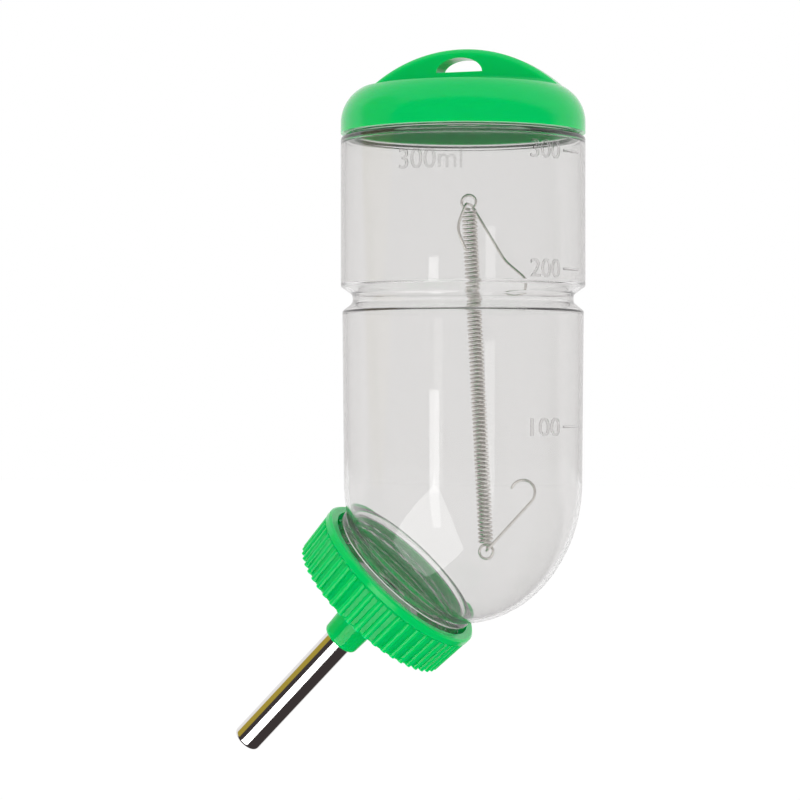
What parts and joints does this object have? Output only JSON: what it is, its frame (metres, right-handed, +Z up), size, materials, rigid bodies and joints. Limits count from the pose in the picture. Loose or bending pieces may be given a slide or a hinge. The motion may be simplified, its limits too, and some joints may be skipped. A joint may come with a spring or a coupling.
{
  "type": "small animal water bottle",
  "caption": "Hanging drinking bottle for a rabbit: clear body with a band groove, hooded cap with a hanging fin, slanted screw collar and a steel ball-valve spout.",
  "frame": {"origin": "on the bottle's axis, at the middle of the band groove where the hanger grips it", "axes": "+Z up along the bottle's axis; the neck and spout point down and towards -X in the XZ plane; the hanging fin lies along X"},
  "size_m": [0.0932, 0.062, 0.1798],
  "materials": {
    "clear_plastic": "translucent blow-moulded plastic, smooth and slightly hazy",
    "green_plastic": "glossy injection-moulded plastic",
    "white_seal": "soft matt silicone",
    "polished_steel": "polished stainless steel",
    "spring_wire": "bright drawn spring wire"
  },
  "bodies": {
    "bottle": {"bottle_body": "clear_plastic"},
    "cap": {"top_cap": "green_plastic"},
    "seal": {"seal_ring": "white_seal"},
    "collar": {"screw_collar": "green_plastic", "spout_tube": "polished_steel"},
    "lower_ball": {"ball_lower": "polished_steel"},
    "upper_ball": {"ball_upper": "polished_steel"},
    "hanger": {"hanger_spring": "spring_wire"},
    "upper_hook": {"hook_upper": "spring_wire"},
    "lower_hook": {"hook_lower": "spring_wire"}
  },
  "joints": [
    {"name": "cap_lift", "type": "slide", "parent": "bottle", "child": "cap", "axis": [0, 0, 1], "range_m": [0, 0.02]},
    {"name": "seal_travel", "type": "slide", "parent": "bottle", "child": "seal", "axis": [-0.6972, 0, -0.7169], "range_m": [0, 0.0121]},
    {"name": "collar_turn", "type": "hinge", "parent": "seal", "child": "collar", "pos_m": [-0.01631, 0, -0.06968], "axis": [-0.6972, 0, -0.7169], "range_deg": [0, 1080]},
    {"name": "lower_ball_lift", "type": "slide", "parent": "collar", "child": "lower_ball", "axis": [0.6972, 0, 0.7169], "range_m": [0, 0.0235]},
    {"name": "upper_ball_lift", "type": "slide", "parent": "lower_ball", "child": "upper_ball", "axis": [0.6972, 0, 0.7169], "range_m": [0, 0.0045]},
    {"name": "hanger_lift", "type": "slide", "parent": "bottle", "child": "hanger", "axis": [-0.062, 0.0272, 0.9977], "range_m": [0, 0.012]},
    {"name": "upper_hook_swing", "type": "hinge", "parent": "hanger", "child": "upper_hook", "pos_m": [-0.0066, 0.0244, 0.0264], "axis": [-0.062, 0.0272, 0.9977], "range_deg": [-35, 0]},
    {"name": "lower_hook_swing", "type": "hinge", "parent": "hanger", "child": "lower_hook", "pos_m": [-0.0009, 0.0219, -0.0653], "axis": [-0.062, 0.0272, 0.9977], "range_deg": [-35, 0]}
  ],
  "couplings": [
    {"joint": "seal_travel", "follows": "collar_turn", "m_per_rad": 0.00063662}
  ]
}
